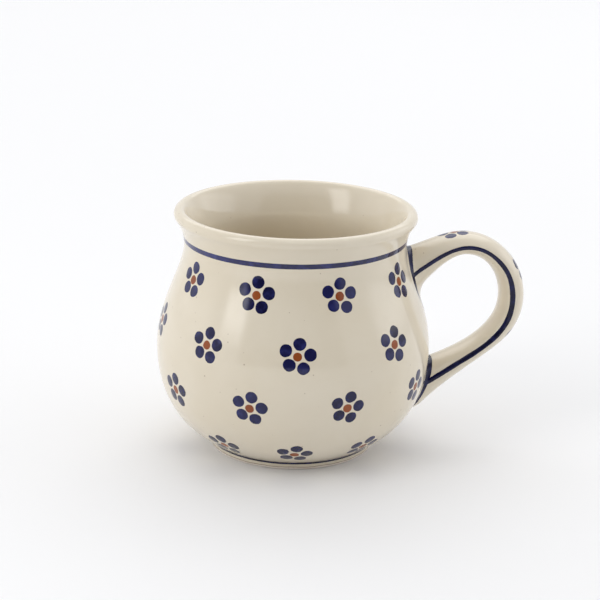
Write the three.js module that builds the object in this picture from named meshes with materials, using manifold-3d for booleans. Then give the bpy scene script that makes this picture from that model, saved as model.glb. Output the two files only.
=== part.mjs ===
// A small round-bellied stoneware mug: a turned body on a foot ring, a pulled strap
// handle, and the two pads of joining slip that hold the handle to the wall.
// Millimetres, +Z up, the handle towards +X.

import * as THREE from 'three';
import { mergeVertices } from 'three/addons/utils/BufferGeometryUtils.js';
import Module from 'manifold-3d';

const wasm = await Module();
wasm.setup();

// ---- Driving sizes ------------------------------------------------------------------

const HEIGHT = 82;            // table to the top of the lip
const BELLY_RADIUS = 46;
const BELLY_HEIGHT = 34.8;    // height of the widest ring
const WAIST_RADIUS = 37;
const WAIST_BELOW_RIM = 12;   // the narrowest ring, measured down from the top of the lip
const RIM_RADIUS = 40.4;
const LIP_RADIUS = 2;         // half the thickness of the rolled lip
const FLARE_ANGLE = 40;       // lean of the wall where it meets the lip, in degrees

const WALL = 4.2;
const FLOOR_THICKNESS = 4.4;
const FLOOR_RADIUS = 20;      // flat part of the floor, inside

const FOOT_RADIUS = 28.3;     // where the foot ring meets the belly
const FOOT_HEIGHT = 2.6;
const FOOT_TAPER = 0.5;       // the foot ring narrows downwards by this much
const FOOT_RING_WIDTH = 3.4;
const FOOT_EDGE = 0.6;        // softened edges of the foot ring
const BASE_RECESS = 2.4;      // hollow under the base, inside the foot ring
const BELLY_START_ANGLE = 62; // steepness of the belly just above the foot, in degrees

const HANDLE_CREST = { out: 20.2, below_rim: 12.25 }; // top of the strap's centre line
const HANDLE_BOW = { out: 28.05, height: 51 };        // its outermost point
const HANDLE_TOP_ROOT_HEIGHT = 60.2;                  // where it enters the wall, above
const HANDLE_LOW_ROOT_HEIGHT = 19.3;                  // and below
const HANDLE_WIDTH = 14;
const CREST_THICKNESS = 7.4;
const BOW_THICKNESS = 8.6;
const LOWER_THICKNESS = 6.8;
const ROOT_SWELL = 4.2;       // extra half thickness where the strap meets the wall
const ROOT_SPREAD = 1.8;      // extra half width there
const TOP_SWELL_LENGTH = 24;  // lengths over which both die away
const LOW_SWELL_LENGTH = 30;

const SLIP_THICKNESS = 1.2;
const SLIP_OVERHANG = 0.5;    // the slip stands out round the strap by this much
const CLEARANCE = 0.3;        // gap between touching pieces

const ROUND_STEPS = 64;       // facets round the body
const BELLY_STEPS = 8;        // facets along each curve of the profile
const LIP_STEPS = 4;          // facets along each side of the lip
const STRAP_STEPS = 40;
const STRAP_SIDES = 16;

// ---- Materials ----------------------------------------------------------------------

const cream_glaze = new THREE.MeshStandardMaterial({ color: '#e4dccd', roughness: 0.18, metalness: 0 });
const strap_glaze = new THREE.MeshStandardMaterial({ color: '#e6dfd0', roughness: 0.18, metalness: 0 });
const slip_glaze = new THREE.MeshStandardMaterial({ color: '#dcd3c2', roughness: 0.22, metalness: 0 });

// ---- Body profile -------------------------------------------------------------------

const v2 = (x, y) => new THREE.Vector2(x, y);
const waist_height = HEIGHT - WAIST_BELOW_RIM;
const lip_centre = v2(RIM_RADIUS - LIP_RADIUS, HEIGHT - LIP_RADIUS);
const flare = THREE.MathUtils.degToRad(FLARE_ANGLE);
const start_lean = THREE.MathUtils.degToRad(BELLY_START_ANGLE);
const floor_height = BASE_RECESS + FLOOR_THICKNESS;

function bezier(a, b, c, d) {
  return new THREE.CubicBezierCurve(a, b, c, d).getPoints(BELLY_STEPS);
}

// The outside from the top of the foot to the underside of the lip, `grow` outside it.
function outside(grow = 0) {
  const belly_rise = BELLY_HEIGHT - FOOT_HEIGHT;
  const neck_rise = waist_height - BELLY_HEIGHT;
  const flare_rise = lip_centre.y - waist_height;
  const start = v2(FOOT_RADIUS, FOOT_HEIGHT);
  const start_pull = 0.06 * belly_rise;
  const belly = bezier(
    start,
    v2(start.x + start_pull * Math.cos(start_lean), start.y + start_pull * Math.sin(start_lean)),
    v2(BELLY_RADIUS, BELLY_HEIGHT - 0.774 * belly_rise),
    v2(BELLY_RADIUS, BELLY_HEIGHT));
  const shoulder = bezier(
    v2(BELLY_RADIUS, BELLY_HEIGHT),
    v2(BELLY_RADIUS, BELLY_HEIGHT + 0.418 * neck_rise),
    v2(WAIST_RADIUS, waist_height - 0.254 * neck_rise),
    v2(WAIST_RADIUS, waist_height));
  const lip_start = v2(
    lip_centre.x + LIP_RADIUS * Math.cos(flare),
    lip_centre.y - LIP_RADIUS * Math.sin(flare));
  const pull = 0.3 * flare_rise;
  const neck = bezier(
    v2(WAIST_RADIUS, waist_height),
    v2(WAIST_RADIUS, waist_height + 0.27 * flare_rise),
    v2(lip_start.x - pull * Math.sin(flare), lip_start.y - pull * Math.cos(flare)),
    lip_start);
  const line = [...belly, ...shoulder.slice(1), ...neck.slice(1)];
  if (grow === 0) return line;
  return line.map((point, i) => {
    const before = line[Math.max(i - 1, 0)];
    const after = line[Math.min(i + 1, line.length - 1)];
    const along = after.clone().sub(before).normalize();
    return v2(point.x + along.y * grow, point.y - along.x * grow);
  });
}

// The inside from the lip down to the middle of the floor.
function inside() {
  const inner_belly = BELLY_RADIUS - WALL;
  const inner_waist = WAIST_RADIUS - WALL;
  const neck_rise = waist_height - BELLY_HEIGHT;
  const floor_rise = BELLY_HEIGHT - floor_height;
  const flare_rise = lip_centre.y - waist_height;
  const lip_end = v2(
    lip_centre.x - LIP_RADIUS * Math.cos(flare),
    lip_centre.y + LIP_RADIUS * Math.sin(flare));
  const pull = 0.3 * flare_rise;
  const neck = bezier(
    lip_end,
    v2(lip_end.x - pull * Math.sin(flare), lip_end.y - pull * Math.cos(flare)),
    v2(inner_waist, waist_height + 0.27 * flare_rise),
    v2(inner_waist, waist_height));
  const shoulder = bezier(
    v2(inner_waist, waist_height),
    v2(inner_waist, waist_height - 0.254 * neck_rise),
    v2(inner_belly, BELLY_HEIGHT + 0.418 * neck_rise),
    v2(inner_belly, BELLY_HEIGHT));
  const bowl = bezier(
    v2(inner_belly, BELLY_HEIGHT),
    v2(inner_belly, BELLY_HEIGHT - 0.62 * floor_rise),
    v2(FLOOR_RADIUS + 0.62 * (inner_belly - FLOOR_RADIUS), floor_height),
    v2(FLOOR_RADIUS, floor_height));
  return [...neck, ...shoulder.slice(1), ...bowl.slice(1), v2(0, floor_height)];
}

// The rolled lip: one arc up to its top, and one over to the inside.
function lip() {
  const points = [];
  const start = -flare;
  const top = Math.PI / 2;
  const end = Math.PI - flare;
  for (const [from, to] of [[start, top], [top, end]]) {
    for (let i = 1; i <= LIP_STEPS; i += 1) {
      const angle = from + ((to - from) * i) / LIP_STEPS;
      points.push(v2(
        lip_centre.x + LIP_RADIUS * Math.cos(angle),
        lip_centre.y + LIP_RADIUS * Math.sin(angle)));
    }
  }
  return points.slice(0, -1);
}

// The underside: the recessed base, then the foot ring's inner side, tread and outer side.
function underside() {
  const tread_out = FOOT_RADIUS - FOOT_TAPER;
  const tread_in = tread_out - FOOT_RING_WIDTH;
  return [
    v2(0, BASE_RECESS),
    v2(tread_in - 2 * FOOT_EDGE, BASE_RECESS),
    v2(tread_in, BASE_RECESS - FOOT_EDGE),
    v2(tread_in, FOOT_EDGE / 2),
    v2(tread_in + FOOT_EDGE, 0),
    v2(tread_out - FOOT_EDGE, 0),
    v2(tread_out, FOOT_EDGE),
  ];
}

// ---- Solids -------------------------------------------------------------------------

function revolve(points) {
  const geometry = new THREE.LatheGeometry(points, ROUND_STEPS);
  geometry.rotateX(Math.PI / 2);
  return geometry;
}

function toSolid(geometry) {
  const bare = geometry.clone();
  bare.deleteAttribute('normal');
  bare.deleteAttribute('uv');
  const merged = mergeVertices(bare, 1e-4);
  const mesh = new wasm.Mesh({
    numProp: 3,
    vertProperties: new Float32Array(merged.attributes.position.array),
    triVerts: new Uint32Array(merged.index.array),
  });
  return new wasm.Manifold(mesh);
}

function toGeometry(solid) {
  const mesh = solid.getMesh();
  const geometry = new THREE.BufferGeometry();
  geometry.setAttribute('position', new THREE.BufferAttribute(mesh.vertProperties, 3));
  geometry.setIndex(new THREE.BufferAttribute(mesh.triVerts, 1));
  geometry.computeVertexNormals();
  return geometry;
}

// The body filled in and grown outwards, used to trim what is stuck on to the wall.
function filledBody(grow) {
  const line = outside(grow);
  const top = HEIGHT + 10;
  return toSolid(revolve([
    v2(0, -10),
    v2(line[0].x, -10),
    ...line,
    v2(line[line.length - 1].x, top),
    v2(0, top),
  ]));
}

// ---- Strap --------------------------------------------------------------------------

const crest = v2(WAIST_RADIUS + HANDLE_CREST.out, HEIGHT - HANDLE_CREST.below_rim);
const bow = v2(BELLY_RADIUS + HANDLE_BOW.out, HANDLE_BOW.height);
const top_root = v2(WAIST_RADIUS, HANDLE_TOP_ROOT_HEIGHT);
const low_root = v2(BELLY_RADIUS - 1.4 * WALL, HANDLE_LOW_ROOT_HEIGHT);

function strapLine() {
  const path = new THREE.CurvePath();
  path.add(new THREE.CubicBezierCurve(
    top_root,
    v2(top_root.x + 0.39 * (crest.x - top_root.x), top_root.y + 0.48 * (crest.y - top_root.y)),
    v2(crest.x - 0.32 * (crest.x - top_root.x), crest.y),
    crest));
  path.add(new THREE.CubicBezierCurve(
    crest,
    v2(crest.x + 0.56 * (bow.x - crest.x), crest.y),
    v2(bow.x, bow.y + 0.53 * (crest.y - bow.y)),
    bow));
  path.add(new THREE.CubicBezierCurve(
    bow,
    v2(bow.x, bow.y - 0.435 * (bow.y - low_root.y)),
    v2(low_root.x + 0.6 * (bow.x - low_root.x), low_root.y + 0.38 * (bow.y - low_root.y)),
    low_root));
  return path;
}

// Half the strap's thickness at a fraction `t` of its length: thin at the crest, full at
// the bow, thin again below, and swelling at both roots.
function halfThickness(t, length) {
  const keys = [CREST_THICKNESS, CREST_THICKNESS, BOW_THICKNESS, LOWER_THICKNESS, LOWER_THICKNESS];
  const place = t * (keys.length - 1);
  const index = Math.min(Math.floor(place), keys.length - 2);
  const blend = THREE.MathUtils.smoothstep(place - index, 0, 1);
  const thickness = THREE.MathUtils.lerp(keys[index], keys[index + 1], blend);
  return thickness / 2 + ROOT_SWELL * rootFade(t, length);
}

function rootFade(t, length) {
  const from_top = 1 - (t * length) / TOP_SWELL_LENGTH;
  const from_low = 1 - ((1 - t) * length) / LOW_SWELL_LENGTH;
  return Math.max(0, from_top, from_low) ** 2;
}

// A round bar bent along the strap's centre line and flattened to its section.
function strap(grow = 0) {
  const path = strapLine();
  const length = path.getLength();
  const bar = new THREE.CylinderGeometry(1, 1, 1, STRAP_SIDES, STRAP_STEPS);
  const place = bar.attributes.position;
  for (let i = 0; i < place.count; i += 1) {
    const t = THREE.MathUtils.clamp(0.5 + place.getY(i), 0, 1);
    const centre = path.getPointAt(t);
    const along = path.getTangentAt(t);
    const thick = place.getX(i) * (halfThickness(t, length) + grow);
    const wide = place.getZ(i) * (HANDLE_WIDTH / 2 + ROOT_SPREAD * rootFade(t, length) + grow);
    place.setXYZ(i, centre.x - along.y * thick, wide, centre.y + along.x * thick);
  }
  return toSolid(bar);
}

// ---- Assembly -----------------------------------------------------------------------

const slip_inner = filledBody(CLEARANCE);
const slip_outer = filledBody(CLEARANCE + SLIP_THICKNESS);
const strap_trim = filledBody(2 * CLEARANCE + SLIP_THICKNESS);
const handle_solid = strap().subtract(strap_trim);
const slip_solid = strap(SLIP_OVERHANG).intersect(slip_outer).subtract(slip_inner);
const pads = slip_solid.decompose().sort((a, b) => b.boundingBox().max[2] - a.boundingBox().max[2]);

function addPiece(group, name, geometry, material) {
  const piece = new THREE.Mesh(geometry, material);
  piece.name = name;
  group.add(piece);
}

const mug = new THREE.Group();
const body_geometry = revolve([...underside(), ...outside(), ...lip(), ...inside()]);
addPiece(mug, 'body', body_geometry, cream_glaze);
addPiece(mug, 'handle', toGeometry(handle_solid), strap_glaze);
addPiece(mug, 'upper_slip_joint', toGeometry(pads[0]), slip_glaze);
addPiece(mug, 'lower_slip_joint', toGeometry(pads[1]), slip_glaze);

// The origin is under the middle of the whole mug, on the table.
const box = new THREE.Box3().setFromObject(mug);
mug.position.set(-(box.min.x + box.max.x) / 2, -(box.min.y + box.max.y) / 2, -box.min.z);

export default mug;
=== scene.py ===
import math

import bmesh
import bpy
import numpy as np
from mathutils import Matrix, Vector


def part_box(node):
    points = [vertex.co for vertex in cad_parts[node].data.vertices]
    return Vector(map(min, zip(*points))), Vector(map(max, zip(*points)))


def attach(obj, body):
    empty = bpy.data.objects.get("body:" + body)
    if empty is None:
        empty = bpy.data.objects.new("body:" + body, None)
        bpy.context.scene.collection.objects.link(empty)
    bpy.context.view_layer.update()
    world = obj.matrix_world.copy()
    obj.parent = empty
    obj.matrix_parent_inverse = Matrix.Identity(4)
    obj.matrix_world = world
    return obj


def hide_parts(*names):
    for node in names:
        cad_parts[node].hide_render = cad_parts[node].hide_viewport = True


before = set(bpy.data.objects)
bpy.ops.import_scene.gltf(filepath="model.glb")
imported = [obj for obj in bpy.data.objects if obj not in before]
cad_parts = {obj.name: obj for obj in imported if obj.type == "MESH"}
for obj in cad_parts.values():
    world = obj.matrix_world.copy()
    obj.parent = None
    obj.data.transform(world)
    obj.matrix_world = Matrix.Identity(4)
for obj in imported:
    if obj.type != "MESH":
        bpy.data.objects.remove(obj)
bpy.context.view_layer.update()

# --- The thrown body --------------------------------------------------------------------
# One bowl of stoneware, thrown on the wheel with a rolled lip and a trimmed foot ring. It
# is glazed cream inside and out. Only about the lowest millimetre of the foot ring, which
# stood on the kiln shelf, is bare clay, with a toasted line where the glaze stops.

MM = 0.001
body_low, body_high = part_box("body")
axis_x = (body_low.x + body_high.x) / 2 / MM
skin_depth = 0.09          # room left for the painting between the clay and the turning sizes
belly_radius = (body_high.y - body_low.y) / 2 / MM - skin_depth
rim_height = body_high.z / MM - 0.03
belly_height = 34.8
waist_radius = 37 - skin_depth
waist_height = rim_height - 12
foot_radius = 28.3 - skin_depth
foot_height = 2.6
lip_radius = 2.0
lip_centre = np.array([40.4 - skin_depth - lip_radius, rim_height - lip_radius])
flare = math.radians(40)
wall = 4.2
floor_radius = 20.0
floor_height = 6.8
steps_round = 288
throwing_ring_depth = 0.018
throwing_ring_spacing = 4.5
# How far each end of a wall curve is pulled along its direction, as a share of the curve's rise.
foot_pull, belly_pull, shoulder_pull = 0.06, 0.774, 0.418
waist_pull, neck_pull, lip_pull = 0.254, 0.27, 0.3
floor_pull = 0.62


def swung_curve(a, b, c, d, steps):
    """A curve from a to d that leaves towards b and arrives from c, as a row of points."""
    t = np.linspace(0, 1, steps + 1)[:, None]
    a, b, c, d = (np.asarray(point, float) for point in (a, b, c, d))
    return a * (1 - t) ** 3 + 3 * b * t * (1 - t) ** 2 + 3 * c * t ** 2 * (1 - t) + d * t ** 3


def outside_line():
    """The outside of the wall from the foot to the lip, as radius and height."""
    belly_rise = belly_height - foot_height
    neck_rise = waist_height - belly_height
    flare_rise = lip_centre[1] - waist_height
    start_lean = math.radians(62)
    start_pull = foot_pull * belly_rise
    belly = swung_curve(
        (foot_radius, foot_height),
        (foot_radius + start_pull * math.cos(start_lean), foot_height + start_pull * math.sin(start_lean)),
        (belly_radius, belly_height - belly_pull * belly_rise),
        (belly_radius, belly_height), 30)
    shoulder = swung_curve(
        (belly_radius, belly_height),
        (belly_radius, belly_height + shoulder_pull * neck_rise),
        (waist_radius, waist_height - waist_pull * neck_rise),
        (waist_radius, waist_height), 30)
    lip_start = lip_centre + lip_radius * np.array([math.cos(flare), -math.sin(flare)])
    neck = swung_curve(
        (waist_radius, waist_height),
        (waist_radius, waist_height + neck_pull * flare_rise),
        lip_start - lip_pull * flare_rise * np.array([math.sin(flare), math.cos(flare)]),
        lip_start, 12)
    return np.vstack([belly, shoulder[1:], neck[1:]])


def lip_line():
    """The rolled lip, a little more than half round, from the outside over to the inside."""
    turn = np.linspace(-flare, math.pi - flare, 26)[1:-1]
    return lip_centre + lip_radius * np.column_stack([np.cos(turn), np.sin(turn)])


def inside_line():
    """The inside of the wall from the lip down to the middle of the floor."""
    inner_belly = belly_radius - wall
    inner_waist = waist_radius - wall
    neck_rise = waist_height - belly_height
    floor_rise = belly_height - floor_height
    flare_rise = lip_centre[1] - waist_height
    lip_end = lip_centre + lip_radius * np.array([-math.cos(flare), math.sin(flare)])
    neck = swung_curve(
        lip_end,
        lip_end - lip_pull * flare_rise * np.array([math.sin(flare), math.cos(flare)]),
        (inner_waist, waist_height + neck_pull * flare_rise),
        (inner_waist, waist_height), 12)
    shoulder = swung_curve(
        (inner_waist, waist_height),
        (inner_waist, waist_height - waist_pull * neck_rise),
        (inner_belly, belly_height + shoulder_pull * neck_rise),
        (inner_belly, belly_height), 24)
    bowl = swung_curve(
        (inner_belly, belly_height),
        (inner_belly, belly_height - floor_pull * floor_rise),
        (floor_radius + floor_pull * (inner_belly - floor_radius), floor_height),
        (floor_radius, floor_height), 26)
    floor = [(radius, floor_height) for radius in (15, 10, 5, 0)]
    return np.vstack([neck, shoulder[1:], bowl[1:], floor])


def foot_line():
    """The recess under the floor, the inside of the ring, its flat tread and its outer edge."""
    recess_height = 2.4
    recess_radius, ring_inside, ring_outside = 22.4, 24.45, 27.74
    tread = (25.1, 26.8)
    hollow = [(radius, recess_height) for radius in (0, 6, 12, 18)]
    fillet = swung_curve(
        (recess_radius, recess_height), (23.8, recess_height), (24.4, 1.8), (ring_inside, 0.65), 6)
    inner_edge = swung_curve((ring_inside, 0.65), (24.5, 0.2), (24.7, 0), (tread[0], 0), 4)
    outer_edge = swung_curve((tread[1], 0), (27.35, 0), (27.7, 0.3), (ring_outside, 0.8), 5)
    side = [(27.88, 1.4), (28.02, 2.0)]
    return np.vstack([hollow, fillet, inner_edge[1:], outer_edge, side])


outside = outside_line()


def wall_radius(height):
    """How far the outside of the wall is from the axis at a height."""
    return np.interp(height, outside[:, 1], outside[:, 0])


def bare_mesh(name, points, edges=(), faces=()):
    """A new piece at the origin, from points in millimetres."""
    mesh = bpy.data.meshes.new(name)
    mesh.from_pydata([tuple(point) for point in np.asarray(points, float) * MM], list(edges), list(faces))
    mesh.update()
    piece = bpy.data.objects.new(name, mesh)
    bpy.context.scene.collection.objects.link(piece)
    return piece


def place(tree, kind, inputs=None, **settings):
    """One node, with its settings, and its inputs by name or number: a value or another node's output."""
    node = tree.nodes.new(kind)
    for key, value in settings.items():
        setattr(node, key, value)
    for key, value in (inputs or {}).items():
        socket = node.inputs[key]
        if isinstance(value, bpy.types.NodeSocket):
            tree.links.new(value, socket)
        else:
            socket.default_value = value
    return node


def sum_of(tree, operation, first, second=0.0):
    """The output of one arithmetic node. It works in geometry trees and in materials."""
    return place(tree, "ShaderNodeMath", {0: first, 1: second}, operation=operation).outputs[0]


def vector_sum(tree, operation, first, second):
    """The same for vectors; with SCALE, the second is a number."""
    node = place(tree, "ShaderNodeVectorMath", {0: first}, operation=operation)
    target = node.inputs["Scale"] if operation == "SCALE" else node.inputs[1]
    if isinstance(second, bpy.types.NodeSocket):
        tree.links.new(second, target)
    else:
        target.default_value = second
    return node.outputs["Value" if operation == "DOT_PRODUCT" else "Vector"]


def blend(tree, factor, first, second):
    """From the first colour, where the factor is 0, to the second, where it is 1."""
    return place(tree, "ShaderNodeMix", {
        "Factor": factor, 6: first, 7: second}, data_type="RGBA").outputs[2]


def share_between(tree, value, none, full, **settings):
    """How far a value is on the way between two limits: 0 at none or before, 1 at full or past it."""
    return place(tree, "ShaderNodeMapRange", {"Value": value, 1: none, 2: full}, **settings).outputs[0]


def new_tree(name, inputs):
    """A geometry tree with named inputs: name, socket type and default."""
    tree = bpy.data.node_groups.new(name, "GeometryNodeTree")
    tree.interface.new_socket("Geometry", in_out="INPUT", socket_type="NodeSocketGeometry")
    for label, kind, default in inputs:
        socket = tree.interface.new_socket(label, in_out="INPUT", socket_type="NodeSocket" + kind)
        if default is not None:
            socket.default_value = default
    tree.interface.new_socket("Geometry", in_out="OUTPUT", socket_type="NodeSocketGeometry")
    return tree, tree.nodes.new("NodeGroupInput"), tree.nodes.new("NodeGroupOutput")


def end_tree(tree, start, end, geometry):
    """Plain geometry with smooth faces, a crisp edge where it folds, and its material."""
    real = place(tree, "GeometryNodeRealizeInstances", {"Geometry": geometry})
    smooth = place(tree, "GeometryNodeSetShadeSmooth", {"Geometry": real.outputs[0]})
    angle = tree.nodes.new("GeometryNodeInputMeshEdgeAngle")
    folded = sum_of(tree, "GREATER_THAN", angle.outputs["Unsigned Angle"], math.radians(75))
    crisp = place(tree, "GeometryNodeSetShadeSmooth", {
        "Geometry": smooth.outputs[0], "Selection": folded, "Shade Smooth": False}, domain="EDGE")
    done = place(tree, "GeometryNodeSetMaterial", {
        "Geometry": crisp.outputs[0], "Material": start.outputs["Material"]})
    tree.links.new(done.outputs[0], end.inputs[0])


def shape_by(tree, piece, material, values):
    """Runs a geometry tree on a piece and keeps the result as its plain mesh."""
    modifier = piece.modifiers.new(tree.name, "NODES")
    modifier.node_group = tree
    values = {**values, "Material": material}
    for item in tree.interface.items_tree:
        if item.item_type == "SOCKET" and item.in_out == "INPUT" and item.name in values:
            modifier[item.identifier] = values[item.name]
    shaped = piece.evaluated_get(bpy.context.evaluated_depsgraph_get())
    mesh = bpy.data.meshes.new_from_object(shaped)
    piece.modifiers.clear()
    piece.data = mesh


def wheel_tree():
    """Turns an outline of edges round the axis, with faint throwing rings."""
    tree, start, end = new_tree("turned on the wheel", [
        ("Axis", "Vector", (0, 0, 0)), ("Steps Round", "Int", 128),
        ("Ring Depth", "Float", 0.0), ("Ring Spacing", "Float", 0.005), ("Seed", "Float", 0.0),
        ("Material", "Material", None)])
    count = place(tree, "GeometryNodeAttributeDomainSize", {"Geometry": start.outputs["Geometry"]})
    across = sum_of(tree, "ADD", start.outputs["Steps Round"], 1.0)
    grid = place(tree, "GeometryNodeMeshGrid", {
        "Vertices X": count.outputs["Point Count"], "Vertices Y": across})
    index = tree.nodes.new("GeometryNodeInputIndex").outputs[0]
    ring = sum_of(tree, "FLOOR", sum_of(tree, "DIVIDE", sum_of(tree, "ADD", index, 0.25), across))
    step = sum_of(tree, "SUBTRACT", index, sum_of(tree, "MULTIPLY", ring, across))
    turned_by = sum_of(tree, "MULTIPLY", step, -2 * math.pi)
    turn = sum_of(tree, "DIVIDE", turned_by, start.outputs["Steps Round"])
    position = tree.nodes.new("GeometryNodeInputPosition").outputs[0]
    drawn = place(tree, "GeometryNodeSampleIndex", {
        "Geometry": start.outputs["Geometry"], "Value": position, "Index": ring}, data_type="FLOAT_VECTOR")
    parts = place(tree, "ShaderNodeSeparateXYZ", {0: drawn.outputs[0]})
    radius, height = parts.outputs[0], parts.outputs[2]
    waver = place(tree, "ShaderNodeTexNoise", {
        "W": sum_of(tree, "ADD", sum_of(tree, "DIVIDE", height, start.outputs["Ring Spacing"]),
                    start.outputs["Seed"]),
        "Scale": 1.0, "Detail": 1.0}, noise_dimensions="1D")
    depth = sum_of(tree, "MULTIPLY", sum_of(tree, "SUBTRACT", waver.outputs[0], 0.5),
                   start.outputs["Ring Depth"])
    # The rings die away near the axis and near the foot.
    off_axis = sum_of(tree, "MINIMUM", sum_of(tree, "MULTIPLY", radius, 60.0), 1.0)
    off_foot = sum_of(tree, "MINIMUM", sum_of(tree, "MULTIPLY", height, 250.0), 1.0)
    fade = sum_of(tree, "MULTIPLY", off_axis, off_foot)
    reach = sum_of(tree, "ADD", radius, sum_of(tree, "MULTIPLY", depth, fade))
    spot = place(tree, "ShaderNodeCombineXYZ", {
        0: sum_of(tree, "MULTIPLY", reach, sum_of(tree, "COSINE", turn)),
        1: sum_of(tree, "MULTIPLY", reach, sum_of(tree, "SINE", turn)),
        2: height})
    turned = place(tree, "GeometryNodeSetPosition", {
        "Geometry": grid.outputs[0],
        "Position": vector_sum(tree, "ADD", spot.outputs[0], start.outputs["Axis"])})
    closed = place(tree, "GeometryNodeMergeByDistance", {"Geometry": turned.outputs[0], "Distance": 1e-7})
    end_tree(tree, start, end, closed.outputs[0])
    return tree


def glaze_group():
    """The fired glaze: milky drifts of colour, a few iron specks, and a faintly rippled gloss."""
    tree = bpy.data.node_groups.new("fired glaze", "ShaderNodeTree")
    for label, kind, default in [
            ("Colour", "Color", (0.8, 0.7, 0.6, 1)), ("Drift Colour", "Color", (0.7, 0.6, 0.5, 1)),
            ("Speck Colour", "Color", (0.2, 0.1, 0.05, 1)), ("Specks", "Float", 0.3),
            ("Roughness", "Float", 0.1)]:
        socket = tree.interface.new_socket(label, in_out="INPUT", socket_type="NodeSocket" + kind)
        socket.default_value = default
    for label, kind in [("Colour", "Color"), ("Roughness", "Float"), ("Height", "Float")]:
        tree.interface.new_socket(label, in_out="OUTPUT", socket_type="NodeSocket" + kind)
    start, end = tree.nodes.new("NodeGroupInput"), tree.nodes.new("NodeGroupOutput")
    place_on = tree.nodes.new("ShaderNodeTexCoord").outputs["Object"]
    drift = place(tree, "ShaderNodeTexNoise", {
        "Vector": place_on, "Scale": 34.0, "Detail": 4.0, "Roughness": 0.55, "Distortion": 0.4})
    drifted = share_between(tree, drift.outputs[0], 0.38, 0.68)
    milky = blend(tree, drifted, start.outputs["Colour"], start.outputs["Drift Colour"])
    cells = place(tree, "ShaderNodeTexVoronoi", {"Vector": place_on, "Scale": 420.0})
    chance = place(tree, "ShaderNodeSeparateColor", {0: cells.outputs["Color"]})
    size = sum_of(tree, "MULTIPLY", sum_of(tree, "SUBTRACT", chance.outputs[0], 0.72), 0.42)
    speck = share_between(tree, sum_of(tree, "SUBTRACT", size, cells.outputs["Distance"]), -0.02, 0.04)
    speck_strength = sum_of(tree, "MULTIPLY", speck, start.outputs["Specks"])
    spotted = blend(tree, speck_strength, milky, start.outputs["Speck Colour"])
    ripple = place(tree, "ShaderNodeTexNoise", {"Vector": place_on, "Scale": 150.0, "Detail": 2.0})
    peel = place(tree, "ShaderNodeTexNoise", {"Vector": place_on, "Scale": 900.0, "Detail": 1.0})
    gloss = sum_of(tree, "ADD", start.outputs["Roughness"],
                   sum_of(tree, "MULTIPLY", sum_of(tree, "SUBTRACT", drift.outputs[0], 0.5), 0.06))
    height = sum_of(tree, "ADD", ripple.outputs[0], sum_of(tree, "MULTIPLY", peel.outputs[0], 0.12))
    tree.links.new(spotted, end.inputs["Colour"])
    tree.links.new(gloss, end.inputs["Roughness"])
    tree.links.new(height, end.inputs["Height"])
    return tree


fired_glaze = glaze_group()
cream = (0.785, 0.712, 0.580, 1)
warm_cream = (0.755, 0.676, 0.535, 1)
iron_brown = (0.20, 0.10, 0.045, 1)


def glazed_material(name, colour, drift_colour, specks, roughness, ripple=0.00004):
    """A glossy glazed surface. Returns the material, its group node and its shader."""
    material = bpy.data.materials.new(name)
    material.use_nodes = True
    tree = material.node_tree
    shader = tree.nodes["Principled BSDF"]
    shader.inputs["IOR"].default_value = 1.52
    glaze = place(tree, "ShaderNodeGroup", node_tree=fired_glaze)
    for key, value in [("Colour", colour), ("Drift Colour", drift_colour), ("Speck Colour", iron_brown),
                       ("Specks", specks), ("Roughness", roughness)]:
        glaze.inputs[key].default_value = value
    bump = place(tree, "ShaderNodeBump", {
        "Height": glaze.outputs["Height"], "Distance": ripple, "Strength": 1.0})
    tree.links.new(glaze.outputs["Colour"], shader.inputs["Base Color"])
    tree.links.new(glaze.outputs["Roughness"], shader.inputs["Roughness"])
    tree.links.new(bump.outputs[0], shader.inputs["Normal"])
    return material, glaze, shader


clay_colour, pale_clay_colour = (0.78, 0.70, 0.62, 1), (0.90, 0.84, 0.77, 1)
toast_colour = (0.30, 0.19, 0.11, 1)
clay_roughness = 0.85
toast_top, toast_full = 0.00116, 0.00106      # heights in metres: above the first all is glaze,
clay_top, clay_full = 0.00094, 0.00088        # and below the last all is bare clay
edge_wander = 0.0007


def body_material():
    """Cream glaze, with its wandering edge, the toasted line and the bare clay at the foot."""
    material, glaze, shader = glazed_material("cream glaze", cream, warm_cream, 0.5, 0.09)
    tree = material.node_tree
    place_on = tree.nodes.new("ShaderNodeTexCoord").outputs["Object"]
    height = place(tree, "ShaderNodeSeparateXYZ", {0: place_on}).outputs[2]
    wander = place(tree, "ShaderNodeTexNoise", {"Vector": place_on, "Scale": 160.0, "Detail": 3.0})
    edge = sum_of(tree, "ADD", height, sum_of(tree, "MULTIPLY", sum_of(
        tree, "SUBTRACT", wander.outputs[0], 0.5), edge_wander))
    clay_grain = place(tree, "ShaderNodeTexNoise", {"Vector": place_on, "Scale": 1400.0, "Detail": 4.0})
    clay = blend(tree, clay_grain.outputs[0], clay_colour, pale_clay_colour)
    toasted = share_between(tree, edge, toast_top, toast_full)
    toast = blend(tree, toasted, glaze.outputs["Colour"], toast_colour)
    bare = share_between(tree, edge, clay_top, clay_full)
    colour = blend(tree, bare, toast, clay)
    rough = place(tree, "ShaderNodeMix", {
        "Factor": bare, 2: glaze.outputs["Roughness"], 3: clay_roughness}, data_type="FLOAT")
    tree.links.new(colour, shader.inputs["Base Color"])
    tree.links.new(rough.outputs[0], shader.inputs["Roughness"])
    return material


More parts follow.
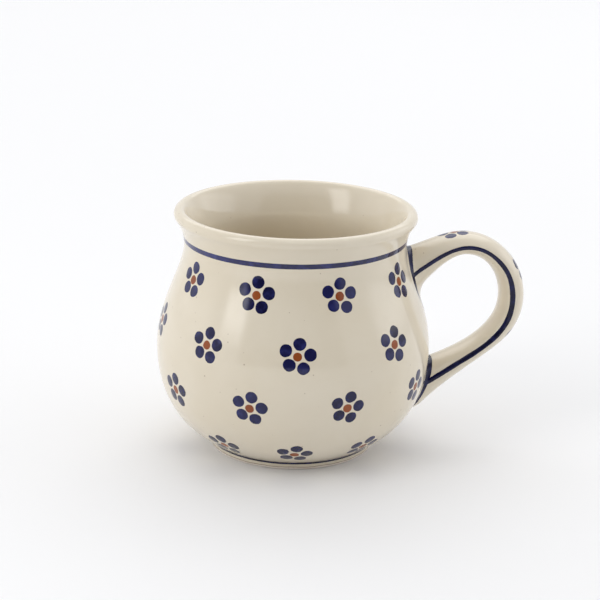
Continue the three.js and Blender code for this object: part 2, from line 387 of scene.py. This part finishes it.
turned_line = np.vstack([foot_line(), outside, lip_line(), inside_line()])
outline = np.column_stack([turned_line[:, 0], np.zeros(len(turned_line)), turned_line[:, 1]])
thrown_body = bare_mesh("thrown_body", outline, edges=[(i, i + 1) for i in range(len(outline) - 1)])
shape_by(wheel_tree(), thrown_body, body_material(), {
    "Axis": (axis_x * MM, 0, 0), "Steps Round": steps_round, "Ring Depth": throwing_ring_depth * MM * 2,
    "Ring Spacing": throwing_ring_spacing * MM, "Seed": 3.7})
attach(thrown_body, "root")
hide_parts("body")

# --- The pulled handle ------------------------------------------------------------------
# A strap of soft clay pulled by hand, oval in section, bent into an ear and pressed on to
# the wall at both ends, where it is thicker and wider. It has the same cream glaze.

crest = np.array([waist_radius + 20.2, rim_height - 12.25])
bow = np.array([belly_radius + 28.05, 51.0])
top_root = np.array([waist_radius + skin_depth, 60.2])
low_root = np.array([belly_radius + skin_depth - 5.88, 19.3])
strap_width = 14.0
strap_thickness = (7.4, 7.4, 8.6, 6.8, 6.8)     # at the root, crest, bow, lower arm and root
root_swell, root_spread = 4.2, 1.8
top_swell_length, low_swell_length = 24.0, 30.0
bedding = 1.8                                   # how deep both ends are pressed into the wall


def strap_centre_line():
    """Three swung curves: up from the upper root, over to the bow, and down to the lower root."""
    across, up = crest - top_root
    rise = swung_curve(
        top_root, top_root + (0.39 * across, 0.48 * up), crest - (0.32 * across, 0), crest, 200)
    over = swung_curve(crest, (crest[0] + 0.56 * (bow[0] - crest[0]), crest[1]),
                       (bow[0], bow[1] + 0.53 * (crest[1] - bow[1])), bow, 200)
    back, drop = bow - low_root
    fall = swung_curve(bow, (bow[0], bow[1] - 0.435 * drop),
                       low_root + (0.6 * back, 0.38 * drop), low_root, 300)
    line = np.vstack([rise, over[1:], fall[1:]])
    run = np.concatenate([[0], np.cumsum(np.linalg.norm(np.diff(line, axis=0), axis=1))])
    return line, run


strap_line, strap_run = strap_centre_line()
strap_length = strap_run[-1]


def unit(vector):
    """The same direction with length 1."""
    return vector / np.linalg.norm(vector, axis=-1, keepdims=True)


def strap_centre(run):
    """The centre line and its direction at a run in millimetres, carried straight on past both ends."""
    run = np.asarray(run, float)
    inner = np.clip(run, 0, strap_length)
    centre, ahead, behind = (
        np.stack([np.interp(place_on_line, strap_run, strap_line[:, k]) for k in (0, 1)], -1)
        for place_on_line in (inner, np.minimum(inner + 0.4, strap_length), np.maximum(inner - 0.4, 0)))
    along = unit(ahead - behind)
    return centre + along * (run - inner)[..., None], along


def root_fade(run):
    """How much the strap swells at a run: 1 at either root, dying away along the arms."""
    from_top = 1 - run / top_swell_length
    from_low = 1 - (strap_length - run) / low_swell_length
    return np.clip(np.maximum(from_top, from_low), 0, 1) ** 2


def strap_skin(run, around, lift=0.0):
    """A point on the strap's skin; around is 0 on the outside of the ear and pi on the inside."""
    run, around = np.broadcast_arrays(np.asarray(run, float), np.asarray(around, float))
    centre, along = strap_centre(run)
    stage = np.clip(run / strap_length, 0, 1) * 4
    step = np.minimum(stage.astype(int), 3)
    ease = (stage - step) ** 2 * (3 - 2 * (stage - step))
    sizes = np.array(strap_thickness)
    thick = (sizes[step] + (sizes[step + 1] - sizes[step]) * ease) / 2 + root_swell * root_fade(run)
    wide = strap_width / 2 + root_spread * root_fade(run)
    out = np.cos(around) * (thick - skin_depth + lift)
    side = np.sin(around) * (wide - skin_depth + lift)
    return np.stack([axis_x + centre[..., 0] - along[..., 1] * out, side,
                     centre[..., 1] + along[..., 0] * out], -1)


def off_wall(point):
    """How far a point lies outside the body's wall, along the radius."""
    return np.hypot(point[..., 0] - axis_x, point[..., 1]) - wall_radius(point[..., 2])


def run_at_wall(around, upper, depth=0.0):
    """Where the strap's skin passes a depth under the wall, at the upper or the lower root."""
    inner = np.full(np.shape(around), -12.0 if upper else strap_length + 12.0)
    outer = np.full(np.shape(around), 26.0 if upper else strap_length - 26.0)
    for _ in range(40):
        middle = (inner + outer) / 2
        buried = off_wall(strap_skin(middle, around)) < -depth
        inner = np.where(buried, middle, inner)
        outer = np.where(buried, outer, middle)
    return (inner + outer) / 2


def ring_faces(rings, sides, closed=False):
    """Quads between rings of points; with closed, the last ring joins the first."""
    faces = []
    for ring in range(rings if closed else rings - 1):
        following = (ring + 1) % rings
        for side in range(sides):
            beside = (side + 1) % sides
            faces.append((ring * sides + side, following * sides + side,
                          following * sides + beside, ring * sides + beside))
    return faces


def face_outwards(piece):
    """Closes the seams, turns every face outwards and shades them smooth."""
    mesh = bmesh.new()
    mesh.from_mesh(piece.data)
    bmesh.ops.remove_doubles(mesh, verts=mesh.verts, dist=1e-7)
    bmesh.ops.recalc_face_normals(mesh, faces=mesh.faces)
    for face in mesh.faces:
        face.smooth = True
    mesh.to_mesh(piece.data)
    mesh.free()


strap_rings, strap_sides = 150, 64
around = np.linspace(0, 2 * math.pi, strap_sides, endpoint=False)
start_run = run_at_wall(around, True, bedding)
end_run = run_at_wall(around, False, bedding)
share = np.linspace(0, 1, strap_rings)[:, None]
strap_points = strap_skin(start_run + (end_run - start_run) * share, around)
strap_points = strap_points.reshape(-1, 3)
last = len(strap_points) - strap_sides
ends = [tuple(reversed(range(strap_sides))), tuple(range(last, last + strap_sides))]
pulled_handle = bare_mesh("pulled_handle", strap_points, faces=ring_faces(strap_rings, strap_sides) + ends)
face_outwards(pulled_handle)
handle_glaze, _, _ = glazed_material("handle glaze", cream, warm_cream, 0.5, 0.085)
pulled_handle.data.materials.append(handle_glaze)
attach(pulled_handle, "root")
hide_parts("handle")

# --- The slip joints --------------------------------------------------------------------
# Soft slip worked round each root with a wet finger, so that the strap runs into the wall
# in a hollow curve: narrow where the strap leaves upwards, wide in the angle under it.

collar_sides, collar_rows = 96, 12
upper_widths = (1.9, 4.4)      # of the hollow curve, on the outside and the inside of the ear
lower_widths = (3.4, 2.0)


def wall_normal(point):
    """Which way the body's wall faces at a point on it."""
    across = unit(point[..., :2] - (axis_x, 0))
    slope = (wall_radius(point[..., 2] + 0.2) - wall_radius(point[..., 2] - 0.2)) / 0.4
    return unit(np.concatenate([across, -slope[..., None]], -1))


def collar(around, upper, outer_width, inner_width):
    """The hollow curve round one root: points by row, from the strap (row 0) to the wall, and one
    ring buried in the clay behind them. Both feather edges end just under the skins."""
    way = 1.0 if upper else -1.0
    width = outer_width + (inner_width - outer_width) * (1 - np.cos(around)) / 2
    run = run_at_wall(around, upper)
    corner = strap_skin(run, around)
    strap_normal = unit(strap_skin(run, around, 1.0) - corner)
    wall_out = wall_normal(corner)
    spread = unit(strap_normal - (strap_normal * wall_out).sum(-1, keepdims=True) * wall_out)
    on_strap = strap_skin(run + way * width, around, -0.01)
    on_wall = corner + spread * width[:, None]
    radial = on_wall[:, :2] - (axis_x, 0)
    scale = (wall_radius(on_wall[:, 2]) - 0.015) / np.linalg.norm(radial, axis=1)
    on_wall[:, :2] = (axis_x, 0) + radial * scale[:, None]
    t = np.linspace(0, 1, collar_rows)[:, None, None]
    hollow = on_strap * (1 - t) ** 2 + 2 * corner * t * (1 - t) + on_wall * t ** 2
    buried = corner - 0.9 * unit(strap_normal + wall_out)
    return hollow, buried


def make_collar(name, upper, outer_width, inner_width, node):
    """One closed ring of slip round a root of the handle."""
    turn = np.linspace(0, 2 * math.pi, collar_sides, endpoint=False)
    hollow, buried = collar(turn, upper, outer_width, inner_width)
    points = np.concatenate([hollow, buried[None]]).reshape(-1, 3)
    piece = bare_mesh(name, points, faces=ring_faces(collar_rows + 1, collar_sides, closed=True))
    face_outwards(piece)
    # The two feather edges are crisp.
    feather = {(row * collar_sides + i) for row in (0, collar_rows - 1) for i in range(collar_sides)}
    sharp = piece.data.attributes.new("sharp_edge", "BOOLEAN", "EDGE")
    sharp.data.foreach_set("value", [
        edge.vertices[0] in feather and edge.vertices[1] in feather and
        edge.vertices[0] // collar_sides == edge.vertices[1] // collar_sides
        for edge in piece.data.edges])
    material, _, _ = glazed_material(name.replace("_", " ") + " glaze", cream, warm_cream, 0.4, 0.085)
    piece.data.materials.append(material)
    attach(piece, "root")
    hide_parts(node)
    return piece


upper_joint = make_collar("upper_joint", True, *upper_widths, "upper_slip_joint")
lower_joint = make_collar("lower_joint", False, *lower_widths, "lower_slip_joint")

# --- Painted bands ----------------------------------------------------------------------
# Cobalt lines laid on the raw glaze with a loaded brush: a band under the rim and a thin
# one at the foot, run round on the wheel, then outlines round both roots of the handle and
# a line down each of its sides, drawn by hand.

paint_height = 0.028           # of the middle of a stroke above its edges
paint_edge = 0.012             # of its edges above the clay
paint_ripple = 0.00003         # in metres, of the gloss over it


def note(piece, name, kind, values):
    """Notes a value on every point of a piece, under a name."""
    layer = piece.data.attributes.new(name, kind, "POINT")
    layer.data.foreach_set("value" if kind == "FLOAT" else "vector", np.array(values, float).ravel())


def read_note(tree, name, kind):
    return place(tree, "GeometryNodeInputNamedAttribute", {"Name": name}, data_type=kind).outputs[0]


def skin_of(tree, start):
    """Everything that is painted on, as one mesh: the inputs Skin 1 to Skin 4."""
    joined = tree.nodes.new("GeometryNodeJoinGeometry")
    for number in (4, 3, 2, 1):
        info = place(tree, "GeometryNodeObjectInfo", {"Object": start.outputs[f"Skin {number}"]})
        tree.links.new(info.outputs["Geometry"], joined.inputs[0])
    return joined.outputs[0]


def nearest_on(tree, skin, position):
    """The nearest point of the skin, and the skin's direction there."""
    spot = place(tree, "GeometryNodeProximity", {"Geometry": skin, "Sample Position": position},
                 target_element="FACES")
    facing = tree.nodes.new("GeometryNodeInputNormal").outputs[0]
    normal = place(tree, "GeometryNodeSampleNearestSurface", {
        "Mesh": skin, "Value": facing, "Sample Position": position}, data_type="FLOAT_VECTOR")
    return spot.outputs["Position"], normal.outputs["Value"]


def keep_facing(tree, geometry, skin):
    """Notes on every point which way the skin faces there, for lay_on."""
    position = tree.nodes.new("GeometryNodeInputPosition").outputs[0]
    normal = nearest_on(tree, skin, position)[1]
    return place(tree, "GeometryNodeStoreNamedAttribute", {
        "Geometry": geometry, "Name": "paint_out", "Value": normal}, data_type="FLOAT_VECTOR").outputs[0]


def lay_on(tree, geometry, skin, lift):
    """Presses flat paint on to the skin from just outside it, each point at its own lift."""
    position = tree.nodes.new("GeometryNodeInputPosition").outputs[0]
    just_outside = vector_sum(tree, "SCALE", read_note(tree, "paint_out", "FLOAT_VECTOR"), 0.0006)
    outside_spot = vector_sum(tree, "ADD", position, just_outside)
    spot, normal = nearest_on(tree, skin, outside_spot)
    raised = vector_sum(tree, "ADD", spot, vector_sum(tree, "SCALE", normal, lift))
    return place(tree, "GeometryNodeSetPosition", {"Geometry": geometry, "Position": raised}).outputs[0]


def paint_lift(tree, start, side, reach):
    """Thickest in the middle of the stroke, thin at its edges, and sunk below the skin behind."""
    dome = sum_of(tree, "SUBTRACT", 1.0, sum_of(tree, "MULTIPLY", reach, reach))
    dome = sum_of(tree, "MAXIMUM", dome, 0.0)
    above = sum_of(tree, "MULTIPLY", dome, start.outputs["Paint Height"])
    front = sum_of(tree, "MULTIPLY", above, sum_of(tree, "SIGN", side))
    return sum_of(tree, "ADD", front, start.outputs["Paint Edge"])


paint_inputs = [("Skin 1", "Object", None), ("Skin 2", "Object", None), ("Skin 3", "Object", None),
                ("Skin 4", "Object", None), ("Paint Height", "Float", paint_height * MM),
                ("Paint Edge", "Float", paint_edge * MM), ("Material", "Material", None)]
clay_skin = {"Skin 1": thrown_body, "Skin 2": pulled_handle, "Skin 3": upper_joint, "Skin 4": lower_joint}


def brush_tree():
    """Sweeps a line of points into a flat stroke of paint that lies on the skin."""
    tree, start, end = new_tree("brush line", paint_inputs + [
        ("Spacing", "Float", 0.0004), ("Unevenness", "Float", 0.1), ("Seed", "Float", 0.0)])
    skin = skin_of(tree, start)
    drawn = place(tree, "GeometryNodeMeshToCurve", {"Mesh": start.outputs["Geometry"]})
    fine = place(tree, "GeometryNodeResampleCurve", {
        "Curve": drawn.outputs[0], 3: start.outputs["Spacing"]}, mode="LENGTH")
    position = tree.nodes.new("GeometryNodeInputPosition").outputs[0]
    spot, _ = nearest_on(tree, skin, position)
    set_down = place(tree, "GeometryNodeSetPosition", {"Geometry": fine.outputs[0], "Position": spot})
    noted = keep_facing(tree, set_down.outputs[0], skin)
    facing = place(tree, "GeometryNodeSetCurveNormal", {
        "Curve": noted, "Normal": read_note(tree, "paint_out", "FLOAT_VECTOR")}, mode="FREE")
    hair = place(tree, "GeometryNodeCurvePrimitiveCircle", {"Resolution": 12, "Radius": 1.0})
    parts = place(tree, "ShaderNodeSeparateXYZ", {0: position})
    caught = tree.nodes.new("GeometryNodeCaptureAttribute")
    caught.capture_items.new("VECTOR", "place in stroke")
    tree.links.new(hair.outputs[0], caught.inputs[0])
    tree.links.new(position, caught.inputs[1])
    flat_spot = place(tree, "ShaderNodeCombineXYZ", {0: 0.0, 1: parts.outputs[1], 2: 0.0})
    flat = place(tree, "GeometryNodeSetPosition", {
        "Geometry": caught.outputs[0], "Position": flat_spot.outputs[0]})
    waver = place(tree, "ShaderNodeTexNoise", {
        "Vector": position, "W": start.outputs["Seed"], "Scale": 140.0, "Detail": 3.0},
        noise_dimensions="4D")
    uneven = sum_of(tree, "ADD", 1.0, sum_of(tree, "MULTIPLY", sum_of(
        tree, "SUBTRACT", waver.outputs[0], 0.5), start.outputs["Unevenness"]))
    half_width = sum_of(tree, "MULTIPLY", read_note(tree, "brush_width", "FLOAT"), 0.5)
    half = sum_of(tree, "MULTIPLY", half_width, uneven)
    swept = place(tree, "GeometryNodeCurveToMesh", {
        "Curve": facing.outputs[0], "Profile Curve": flat.outputs[0], "Scale": half, "Fill Caps": True})
    in_stroke = place(tree, "ShaderNodeSeparateXYZ", {0: caught.outputs[1]})
    lift = paint_lift(tree, start, in_stroke.outputs[0], in_stroke.outputs[1])
    end_tree(tree, start, end, lay_on(tree, swept.outputs[0], skin, lift))
    return tree


def cobalt_material(name, load):
    """Cobalt under the gloss, near black where it is thick and bluer in the thinner strokes. The load
    is how full the brush was: more makes it darker and duller."""
    thick, medium, washed = (
        tuple(part / load for part in colour) + (1,)
        for colour in ((0.0050, 0.0050, 0.042), (0.017, 0.019, 0.115), (0.032, 0.038, 0.19)))
    material, glaze, shader = glazed_material(name, thick, medium, 0.0, 0.07, ripple=paint_ripple)
    shader.inputs["Specular IOR Level"].default_value = 0.5 / load ** 0.7
    tree = material.node_tree
    place_on = tree.nodes.new("ShaderNodeTexCoord").outputs["Object"]
    pooling = place(tree, "ShaderNodeTexNoise", {"Vector": place_on, "Scale": 420.0, "Detail": 3.0})
    thin = share_between(tree, pooling.outputs[0], 0.45, 0.8)
    tree.links.new(blend(tree, thin, glaze.outputs["Colour"], washed), shader.inputs["Base Color"])
    return material


brush = brush_tree()


def brush_line(name, strokes, closed, seed, unevenness=0.12, load=1.0):
    """Paints strokes, each a list of points and their width in millimetres, as one piece."""
    points, edges, widths = [], [], []
    for line, width in strokes:
        first, count = len(points), len(line)
        points.extend(np.asarray(line, float))
        widths.extend(np.broadcast_to(width, count))
        edges.extend((first + i, first + (i + 1) % count) for i in range(count if closed else count - 1))
    piece = bare_mesh(name, points, edges=edges)
    note(piece, "brush_width", "FLOAT", np.array(widths) * MM)
    shape_by(brush, piece, cobalt_material(name.replace("_", " ") + " cobalt", load=load), {
        **clay_skin, "Unevenness": unevenness, "Seed": seed})
    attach(piece, "root")


def band_round(height, tilt, waver, seed):
    """A line run round the wall at a height, rising a little to one side and trembling a little."""
    turn = np.linspace(0, 2 * math.pi, 360, endpoint=False)
    tremble = sum(np.sin(turn * k + seed * k * 1.7) / k for k in (3, 5, 8)) * waver
    level = height + tilt * np.cos(turn) + tremble
    reach = wall_radius(level)
    return np.column_stack([axis_x + reach * np.cos(turn), reach * np.sin(turn), level])


neck_line = band_round(height=72.6, tilt=0.3, waver=0.05, seed=1.3)
foot_ring_line = band_round(height=2.75, tilt=0.0, waver=0.03, seed=2.1)
neck_width, foot_width = 1.7, 0.85
brush_line("neck_band", [(neck_line, neck_width)], True, 2.0)
brush_line("foot_band", [(foot_ring_line, foot_width)], True, 5.0, load=1.8)


def round_root(upper, widths, outer_clear, inner_clear, top_width, tail_width, tail_drop):
    """The outline round one root of the handle, a little clear of the wall, its tail carried down it."""
    turn = np.linspace(0, 2 * math.pi, 120, endpoint=False)
    hollow, _ = collar(turn, upper, *widths)
    clear = outer_clear + (inner_clear - outer_clear) * (1 - np.cos(turn)) / 2
    far = off_wall(hollow)
    line = []
    for i in range(len(turn)):
        row = np.interp(-clear[i], -far[:, i], np.arange(collar_rows))
        low = int(min(row, collar_rows - 2))
        line.append(hollow[low, i] + (hollow[low + 1, i] - hollow[low, i]) * (row - low))
    line = np.array(line)
    height = (line[:, 2] - line[:, 2].min()) / np.ptp(line[:, 2])
    dropped = line[:, 2] - tail_drop * (1 - height) ** 3
    reach = np.hypot(line[:, 0] - axis_x, line[:, 1])
    stretch = 1 + (wall_radius(dropped) - wall_radius(line[:, 2])) / reach
    line = np.column_stack([axis_x + (line[:, 0] - axis_x) * stretch, line[:, 1] * stretch, dropped])
    return line, tail_width + (top_width - tail_width) * height ** 0.8


upper_outline = round_root(
    True, upper_widths, outer_clear=1.1, inner_clear=0.1, top_width=1.35, tail_width=0.9, tail_drop=5.0)
lower_outline = round_root(
    False, lower_widths, outer_clear=1.0, inner_clear=1.0, top_width=1.6, tail_width=1.1, tail_drop=0.0)
outlines = [upper_outline, lower_outline]
brush_line("root_outlines", outlines, True, 7.0, unevenness=0.4, load=2.0)


def down_side(side):
    """The line down one side of the strap, drifting towards the inside of the ear at the bow."""
    flank = np.array([side * math.pi / 2])
    first, final = run_at_wall(flank, True)[0], run_at_wall(flank, False)[0]
    run = np.linspace(first + 0.7, final - 1.6, 180)
    inward = np.interp(run / strap_length, (0, 0.25, 0.5, 0.75, 1), (0.03, 0.02, 0.2, 0.25, 0.05))
    width = np.interp(run / strap_length, (0, 0.3, 0.55, 0.8, 1), (1.6, 1.8, 2.45, 2.3, 1.7))
    return strap_skin(run, side * (math.pi / 2 + inward), 1.0), width


brush_line(
    "side_lines", [down_side(-1), down_side(1)], False, 9.0, unevenness=0.4, load=2.0)

# --- Stamped flowers --------------------------------------------------------------------
# Five-petalled flowers printed with a cut sponge in cobalt, each with a dot of rust slip
# in its middle. They run in staggered rows round the body, and down the back of the handle.

petal_turns = [4 + 72 * petal for petal in range(5)]     # degrees clockwise from the top
petal_reaches = (4.1, 4.1, 4.1, 3.7, 4.3)                # one petal was cut closer in, the next farther out
petal_length, petal_width = 4.05, 4.15
dot_size = 3.0


def stamp_tree():
    """Prints a mark of oval dabs on the skin at every point."""
    tree, start, end = new_tree("sponge stamp", paint_inputs + [
        ("Mark", "Object", None), ("Seed", "Int", 0)])
    skin = skin_of(tree, start)
    position = tree.nodes.new("GeometryNodeInputPosition").outputs[0]
    mark = place(tree, "GeometryNodeObjectInfo", {"Object": start.outputs["Mark"]})
    dab = place(tree, "GeometryNodeMeshUVSphere", {"Segments": 28, "Rings": 8, "Radius": 1.0})
    caught = tree.nodes.new("GeometryNodeCaptureAttribute")
    caught.capture_items.new("VECTOR", "place in dab")
    tree.links.new(dab.outputs[0], caught.inputs[0])
    tree.links.new(position, caught.inputs[1])
    dabs = place(tree, "GeometryNodeInstanceOnPoints", {
        "Points": mark.outputs["Geometry"], "Instance": caught.outputs[0],
        "Rotation": place(tree, "FunctionNodeAxisAngleToRotation", {
            "Axis": (0, 0, 1), "Angle": read_note(tree, "dab_turn", "FLOAT")}).outputs[0],
        "Scale": read_note(tree, "dab_size", "FLOAT_VECTOR")})
    one = place(tree, "GeometryNodeRealizeInstances", {"Geometry": dabs.outputs[0]})
    _, normal = nearest_on(tree, skin, position)
    upright = place(tree, "FunctionNodeAxesToRotation", {
        "Primary Axis": normal, "Secondary Axis": read_note(tree, "stamp_up", "FLOAT_VECTOR")},
        primary_axis="Z", secondary_axis="Y")
    tilted = place(tree, "FunctionNodeRotateRotation", {
        "Rotation": upright.outputs[0],
        "Rotate By": place(tree, "FunctionNodeAxisAngleToRotation", {
            "Axis": (0, 0, 1), "Angle": read_note(tree, "stamp_tilt", "FLOAT")}).outputs[0]},
        rotation_space="LOCAL")
    pressure = place(tree, "FunctionNodeRandomValue", {
        2: 0.965, 3: 1.03, "Seed": start.outputs["Seed"]}, data_type="FLOAT")
    scale = place(tree, "ShaderNodeCombineXYZ", {0: pressure.outputs[1], 1: pressure.outputs[1], 2: 1.0})
    printed = place(tree, "GeometryNodeInstanceOnPoints", {
        "Points": keep_facing(tree, start.outputs["Geometry"], skin), "Instance": one.outputs[0],
        "Rotation": tilted.outputs[0], "Scale": scale.outputs[0]})
    loose = place(tree, "GeometryNodeRealizeInstances", {"Geometry": printed.outputs[0]})
    ragged = place(tree, "ShaderNodeTexNoise", {"Vector": position, "Scale": 380.0, "Detail": 2.0})
    offset = vector_sum(tree, "SUBTRACT", ragged.outputs["Color"], (0.5, 0.5, 0.5))
    in_dab = place(tree, "ShaderNodeSeparateXYZ", {0: caught.outputs[1]})
    reach = sum_of(tree, "SQRT", sum_of(tree, "ADD", sum_of(
        tree, "MULTIPLY", in_dab.outputs[0], in_dab.outputs[0]), sum_of(
        tree, "MULTIPLY", in_dab.outputs[1], in_dab.outputs[1])))
    nudge = vector_sum(tree, "SCALE", offset, sum_of(tree, "MULTIPLY", reach, 0.0005))
    torn = place(tree, "GeometryNodeSetPosition", {"Geometry": loose.outputs[0], "Offset": nudge})
    lift = paint_lift(tree, start, in_dab.outputs[2], reach)
    end_tree(tree, start, end, lay_on(tree, torn.outputs[0], skin, lift))
    return tree


def stamp_mark(name, dabs):
    """The pattern cut into one stamp: middle, size and turn of each dab, in millimetres and degrees."""
    mark = bare_mesh(name, [(x, y, 0) for x, y, _, _, _ in dabs])
    half_sizes = np.array([(width / 2, length / 2, 1e-6) for _, _, width, length, _ in dabs])
    note(mark, "dab_size", "FLOAT_VECTOR", half_sizes * MM)
    note(mark, "dab_turn", "FLOAT", [math.radians(turn) for *_, turn in dabs])
    return mark


petal_dabs = []
for turned, reach in zip(petal_turns, petal_reaches):
    across, up = reach * math.sin(math.radians(turned)), reach * math.cos(math.radians(turned))
    petal_dabs.append((across, up, petal_width, petal_length, -turned))
petal_mark = stamp_mark("petal_mark", petal_dabs)
dot_mark = stamp_mark("dot_mark", [(0, 0, dot_size, dot_size, 0)])
stamp = stamp_tree()


rust, dark_rust = (0.32, 0.082, 0.021, 1), (0.25, 0.060, 0.016, 1)


def rust_material(name):
    """Rust-red slip under the gloss."""
    material, _, shader = glazed_material(name, rust, dark_rust, 0.35, 0.1, ripple=paint_ripple)
    shader.inputs["Specular IOR Level"].default_value = 0.4
    return material


def print_flowers(name, places, mark, material, seed):
    """Prints one mark at every place: a point on the skin, which way is up, and the tilt in degrees."""
    piece = bare_mesh(name, [spot for spot, _, _ in places])
    note(piece, "stamp_up", "FLOAT_VECTOR", [up for _, up, _ in places])
    note(piece, "stamp_tilt", "FLOAT", [-math.radians(tilt) for _, _, tilt in places])
    shape_by(stamp, piece, material, {**clay_skin, "Mark": mark, "Seed": seed})
    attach(piece, "root")


# The hand steps round the body from the handle, on either side of it. Each row: its height, the
# bearing of its first flower, the step to the next and the first flower's lean, in degrees, how
# far the row has sagged by its fourth flower, and the number of flowers on each side.
flower_rows = [
    (62.8, 34, 40, 5, 0.3, (4, 4)),
    (45.4, 54, 40, 8, 0.0, (4, 3)),
    (27.7, 33, 40, 12, 1.5, (4, 4)),
    (9.2, 18, 38, 10, 0.0, (5, 4))]
lean_lost_per_step = 3
crowded_row, crowding = 1, 5       # this row's first flower was set so many degrees nearer the handle
body_places = []
for row, (row_height, first_bearing, step, lean, sag, counts) in enumerate(flower_rows):
    for side, count in zip((-1, 1), counts):
        for stamped in range(count):
            bearing = first_bearing + step * stamped
            if row == crowded_row and side < 0 and stamped == 0:
                bearing -= crowding
            turn = math.radians(side * bearing)
            height = row_height - sag * (stamped / 3) ** 4
            reach = float(wall_radius(height))
            spot = (axis_x + reach * math.cos(turn), reach * math.sin(turn), height)
            body_places.append((spot, (0, 0, 1), lean - lean_lost_per_step * stamped))
sponge_load = 1.35
print_flowers(
    "body_petals", body_places, petal_mark,
    cobalt_material("petal cobalt", load=sponge_load), 4)
print_flowers("body_dots", body_places, dot_mark, rust_material("body dot rust"), 6)

# The handle's flowers lie along the outside of the ear, upright along the strap: for each, the
# part of the strap's length from the upper root, how far round it lies, and its tilt in degrees.
handle_marks = ((0.20, 0.22, 4), (0.42, 0.0, 10), (0.63, -0.1, -6), (0.84, 0.1, 5))
handle_places = []
for part, aside, tilt in handle_marks:
    run = part * strap_length
    _, along = strap_centre(run)
    spot = strap_skin(run, aside)
    handle_places.append((tuple(spot), (-along[0], 0, -along[1]), tilt))
print_flowers(
    "handle_petals", handle_places, petal_mark,
    cobalt_material("handle petal cobalt", load=sponge_load), 8)
print_flowers(
    "handle_dots", handle_places, dot_mark, rust_material("handle dot rust"), 9)
for mark in (petal_mark, dot_mark):
    bpy.data.objects.remove(mark)

# --- Table, light and camera ------------------------------------------------------------
# A pale seamless table in a pale room, with a soft window of light in front on the left, a
# weak panel on the left, a stronger one on the right, and a large softbox high behind. The
# camera looks down at the mug's side.

camera_bearing = math.radians(-96)
toward_camera = Vector((math.cos(camera_bearing), math.sin(camera_bearing), 0))
to_the_right = Vector((-toward_camera.y, toward_camera.x, 0))
mug_axis = Vector((axis_x * MM, 0, 0))
mug_middle = mug_axis + Vector((0, 0, 0.045))

table_half_width, table_height = 4000, -0.02
table_corners = [
    (x * table_half_width, y * table_half_width, table_height)
    for x, y in ((-1, -1), (1, -1), (1, 1), (-1, 1))]
table = bare_mesh("table", table_corners, faces=[(0, 1, 2, 3)])
table_paper = bpy.data.materials.new("pale table")
table_paper.use_nodes = True
paper = table_paper.node_tree.nodes["Principled BSDF"]
paper.inputs["Base Color"].default_value = (0.89, 0.89, 0.895, 1)
paper.inputs["Roughness"].default_value = 0.6
paper.inputs["Specular IOR Level"].default_value = 0.2
table.data.materials.append(table_paper)


def softbox(name, bearing, elevation, distance, width, height, power, softness, colour=(1, 1, 1)):
    """A panel of light facing the mug. Its bearing is from the camera's side and grows to the right.
    Softness is the share of each half width over which it fades to nothing."""
    turn, lift = math.radians(bearing), math.radians(elevation)
    away = (toward_camera * math.cos(turn) + to_the_right * math.sin(turn)) * math.cos(lift)
    away.z = math.sin(lift)
    data = bpy.data.lights.new(name, "AREA")
    data.shape = "RECTANGLE"
    data.size, data.size_y, data.energy, data.color = width, height, power, colour
    data.use_nodes = True
    tree = data.node_tree
    on_panel = tree.nodes.new("ShaderNodeNewGeometry").outputs["Parametric"]
    across = place(tree, "ShaderNodeSeparateXYZ", {0: on_panel})
    off_centre = [sum_of(tree, "ABSOLUTE", sum_of(tree, "SUBTRACT", across.outputs[k], 0.5)) for k in (0, 1)]
    fades = [share_between(tree, off, 0.5, 0.5 - 0.5 * softness, interpolation_type="SMOOTHSTEP")
             for off in off_centre]
    tree.links.new(sum_of(tree, "MULTIPLY", *fades), tree.nodes["Emission"].inputs["Strength"])
    light = bpy.data.objects.new(name, data)
    light.location = mug_middle + away * distance
    light.rotation_euler = away.to_track_quat("Z", "Y").to_euler()
    bpy.context.scene.collection.objects.link(light)


softbox("left window", -55, 31, 1.0, 0.48, 0.88, power=4.0, softness=0.55, colour=(1, 0.99, 0.975))
softbox("left panel", -100, 16, 1.3, 1.3, 0.7, power=0.9, softness=0.5)
softbox("right panel", 103, 18, 1.3, 1.6, 0.8, power=4.2, softness=0.5, colour=(1, 0.99, 0.98))
softbox("back softbox", 180, 48, 1.9, 2.6, 1.6, power=13.5, softness=0.3)

# The room is pale all round, but dark where the camera stands.
room_level, doorway_level = 0.86, 0.08
world = bpy.data.worlds.new("room")
world.use_nodes = True
room = world.node_tree
looking = room.nodes.new("ShaderNodeTexCoord").outputs["Generated"]
frontal = vector_sum(room, "DOT_PRODUCT", looking, tuple(toward_camera))
height = place(room, "ShaderNodeSeparateXYZ", {0: looking}).outputs[2]
doorway = share_between(room, frontal, 0.66, 0.74)
below_lintel = share_between(room, height, 0.66, 0.46)
dark = sum_of(room, "MULTIPLY", doorway, below_lintel)
level = place(room, "ShaderNodeMapRange", {"Value": dark, 3: room_level, 4: doorway_level})
background = room.nodes["Background"]
background.inputs["Color"].default_value = (0.98, 0.985, 1, 1)
room.links.new(level.outputs[0], background.inputs["Strength"])
bpy.context.scene.world = world
bpy.context.scene.view_settings.view_transform = "Standard"

camera_distance, camera_height, camera_roll = 0.5555, 0.2268, math.radians(1.38)
aim_right, aim_height = 0.002, 0.050
camera_data = bpy.data.cameras.new("camera")
camera_data.sensor_width = 36
camera_data.lens = 104.2
camera_data.clip_end = 20
camera = bpy.data.objects.new("camera", camera_data)
camera.location = mug_axis + toward_camera * camera_distance + Vector((0, 0, camera_height))
aim = mug_axis + to_the_right * aim_right + Vector((0, 0, aim_height))
facing = (camera.location - aim).to_track_quat("Z", "Y")
camera.rotation_euler = (facing.to_matrix() @ Matrix.Rotation(camera_roll, 3, "Z")).to_euler()
bpy.context.scene.collection.objects.link(camera)
bpy.context.scene.camera = camera
